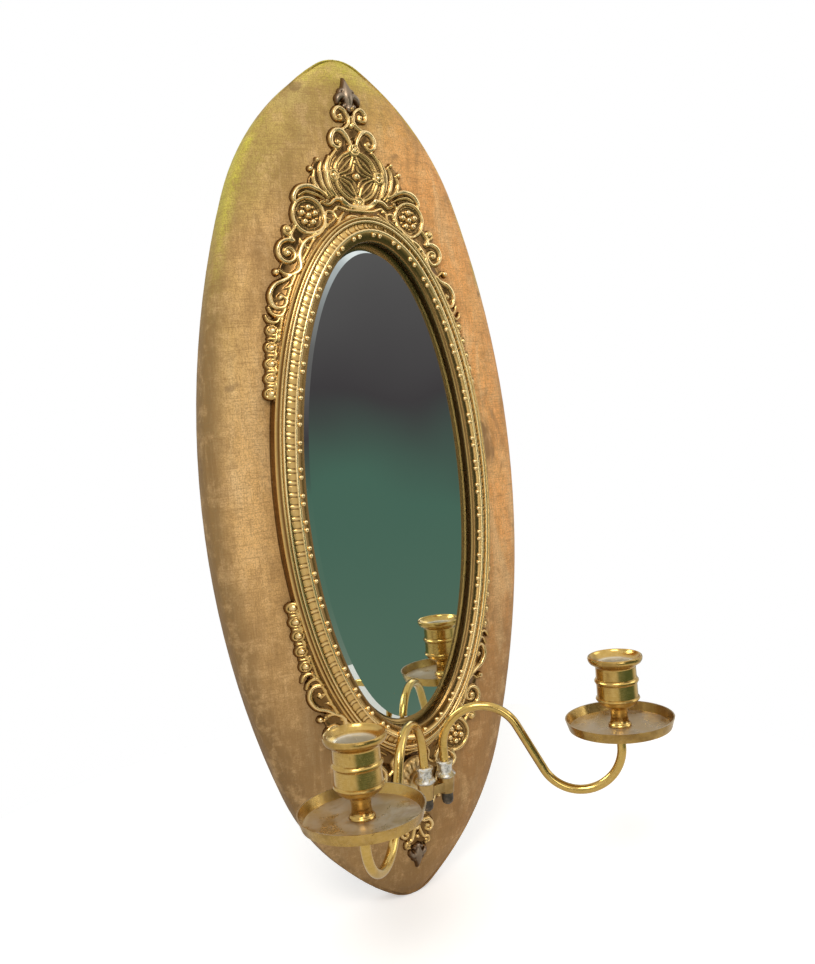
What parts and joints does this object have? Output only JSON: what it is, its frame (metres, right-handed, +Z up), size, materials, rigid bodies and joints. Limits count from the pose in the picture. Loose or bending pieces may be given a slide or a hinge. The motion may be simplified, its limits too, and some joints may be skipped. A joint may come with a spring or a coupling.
{
  "type": "girandole mirror",
  "caption": "Pointed-oval wall mirror on a velvet-covered board, pressed brass surround round an oval bevelled glass, swivelling candle arms with drip pans.",
  "frame": {"origin": "middle of the board's back face, on the wall plane", "axes": "+Z up along the board, +Y into the wall, +X to the right of someone facing the mirror"},
  "size_m": [0.2794, 0.173, 0.5998],
  "materials": {
    "velvet": "worn cotton velvet, faded and stained",
    "board_wood": "sawn softwood",
    "lining_cloth": "black cotton lining",
    "backing_card": "grey strawboard",
    "cork": "cork",
    "mirror": "bevelled silvered plate",
    "pressed_brass": "pressed, gilt lacquer worn on the high points",
    "cast_brass": "cast, dull",
    "tube_brass": "drawn tube, tarnished",
    "turned_brass": "turned and spun, tarnished",
    "plated_ferrule": "worn white plating",
    "dark_nut": "dark patina",
    "iron": "plain steel"
  },
  "bodies": {
    "board": {"back_board": "board_wood", "velvet_cover": "velvet", "back_lining": "lining_cloth", "velvet_tacks": "iron", "mirror_backing": "backing_card", "mirror_glass": "mirror", "brass_surround": "pressed_brass", "surround_pins": "pressed_brass", "glass_wedges": "cork", "bracket_rosette": "cast_brass", "socket_bracket": "cast_brass", "bracket_washer": "iron", "bracket_bolt": "iron", "hanger_plate": "cast_brass", "hanger_screws": "iron"},
    "left_arm": {"left_arm_tube": "tube_brass", "left_collar": "plated_ferrule", "left_spindle": "iron", "left_acorn_nut": "dark_nut", "left_drip_pan": "turned_brass", "left_nozzle": "turned_brass", "left_stud": "iron"},
    "right_arm": {"right_arm_tube": "tube_brass", "right_collar": "plated_ferrule", "right_spindle": "iron", "right_acorn_nut": "dark_nut", "right_drip_pan": "turned_brass", "right_nozzle": "turned_brass", "right_stud": "iron"},
    "hanging_ring": {"hanging_ring": "cast_brass"}
  },
  "joints": [
    {"name": "left_arm_swivel", "type": "hinge", "parent": "board", "child": "left_arm", "pos_m": [-0.0086, -0.0585, -0.2035], "axis": [0, 0, 1], "range_deg": [-22, 32]},
    {"name": "right_arm_swivel", "type": "hinge", "parent": "board", "child": "right_arm", "pos_m": [0.0086, -0.0585, -0.2035], "axis": [0, 0, 1], "range_deg": [-32, 22]},
    {"name": "hanging_ring_swing", "type": "hinge", "parent": "board", "child": "hanging_ring", "pos_m": [0, -0.004, 0.205], "axis": [1, 0, 0], "range_deg": [0, 150]}
  ]
}
